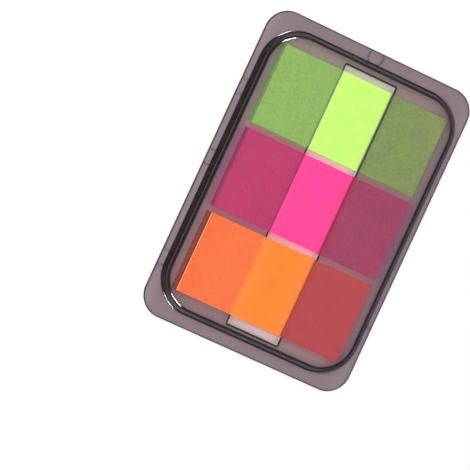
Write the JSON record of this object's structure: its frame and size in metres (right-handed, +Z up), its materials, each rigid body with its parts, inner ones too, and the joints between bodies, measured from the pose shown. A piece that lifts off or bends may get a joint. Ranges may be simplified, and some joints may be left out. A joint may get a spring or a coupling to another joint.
{
  "type": "sticky index tabs",
  "caption": "Flat smoked see-through dispenser of fluorescent film index tabs in lime, pink and orange, drawn out through a long window in its raised front.",
  "frame": {"origin": "middle of the case's footprint, on the underside of the back sheet", "axes": "+X along a tab, from its drawn-out free end to its stuck end; +Y from the orange stack to the lime stack; +Z up out of the window"},
  "size_m": [0.0554, 0.0782, 0.0039],
  "materials": {
    "smoked_plastic": "satin, see-through, smoked",
    "white_plastic": "satin, off-white, opaque sheet",
    "lime_film": "matt fluorescent film",
    "pink_film": "matt fluorescent film",
    "orange_film": "matt fluorescent film"
  },
  "bodies": {
    "root": {"back_sheet": "white_plastic", "front_shell": "smoked_plastic", "pad_lime": "lime_film", "pad_pink": "pink_film", "pad_orange": "orange_film", "tab_lime_top": "lime_film", "tab_pink_top": "pink_film", "tab_orange_top": "orange_film"}
  },
  "joints": []
}
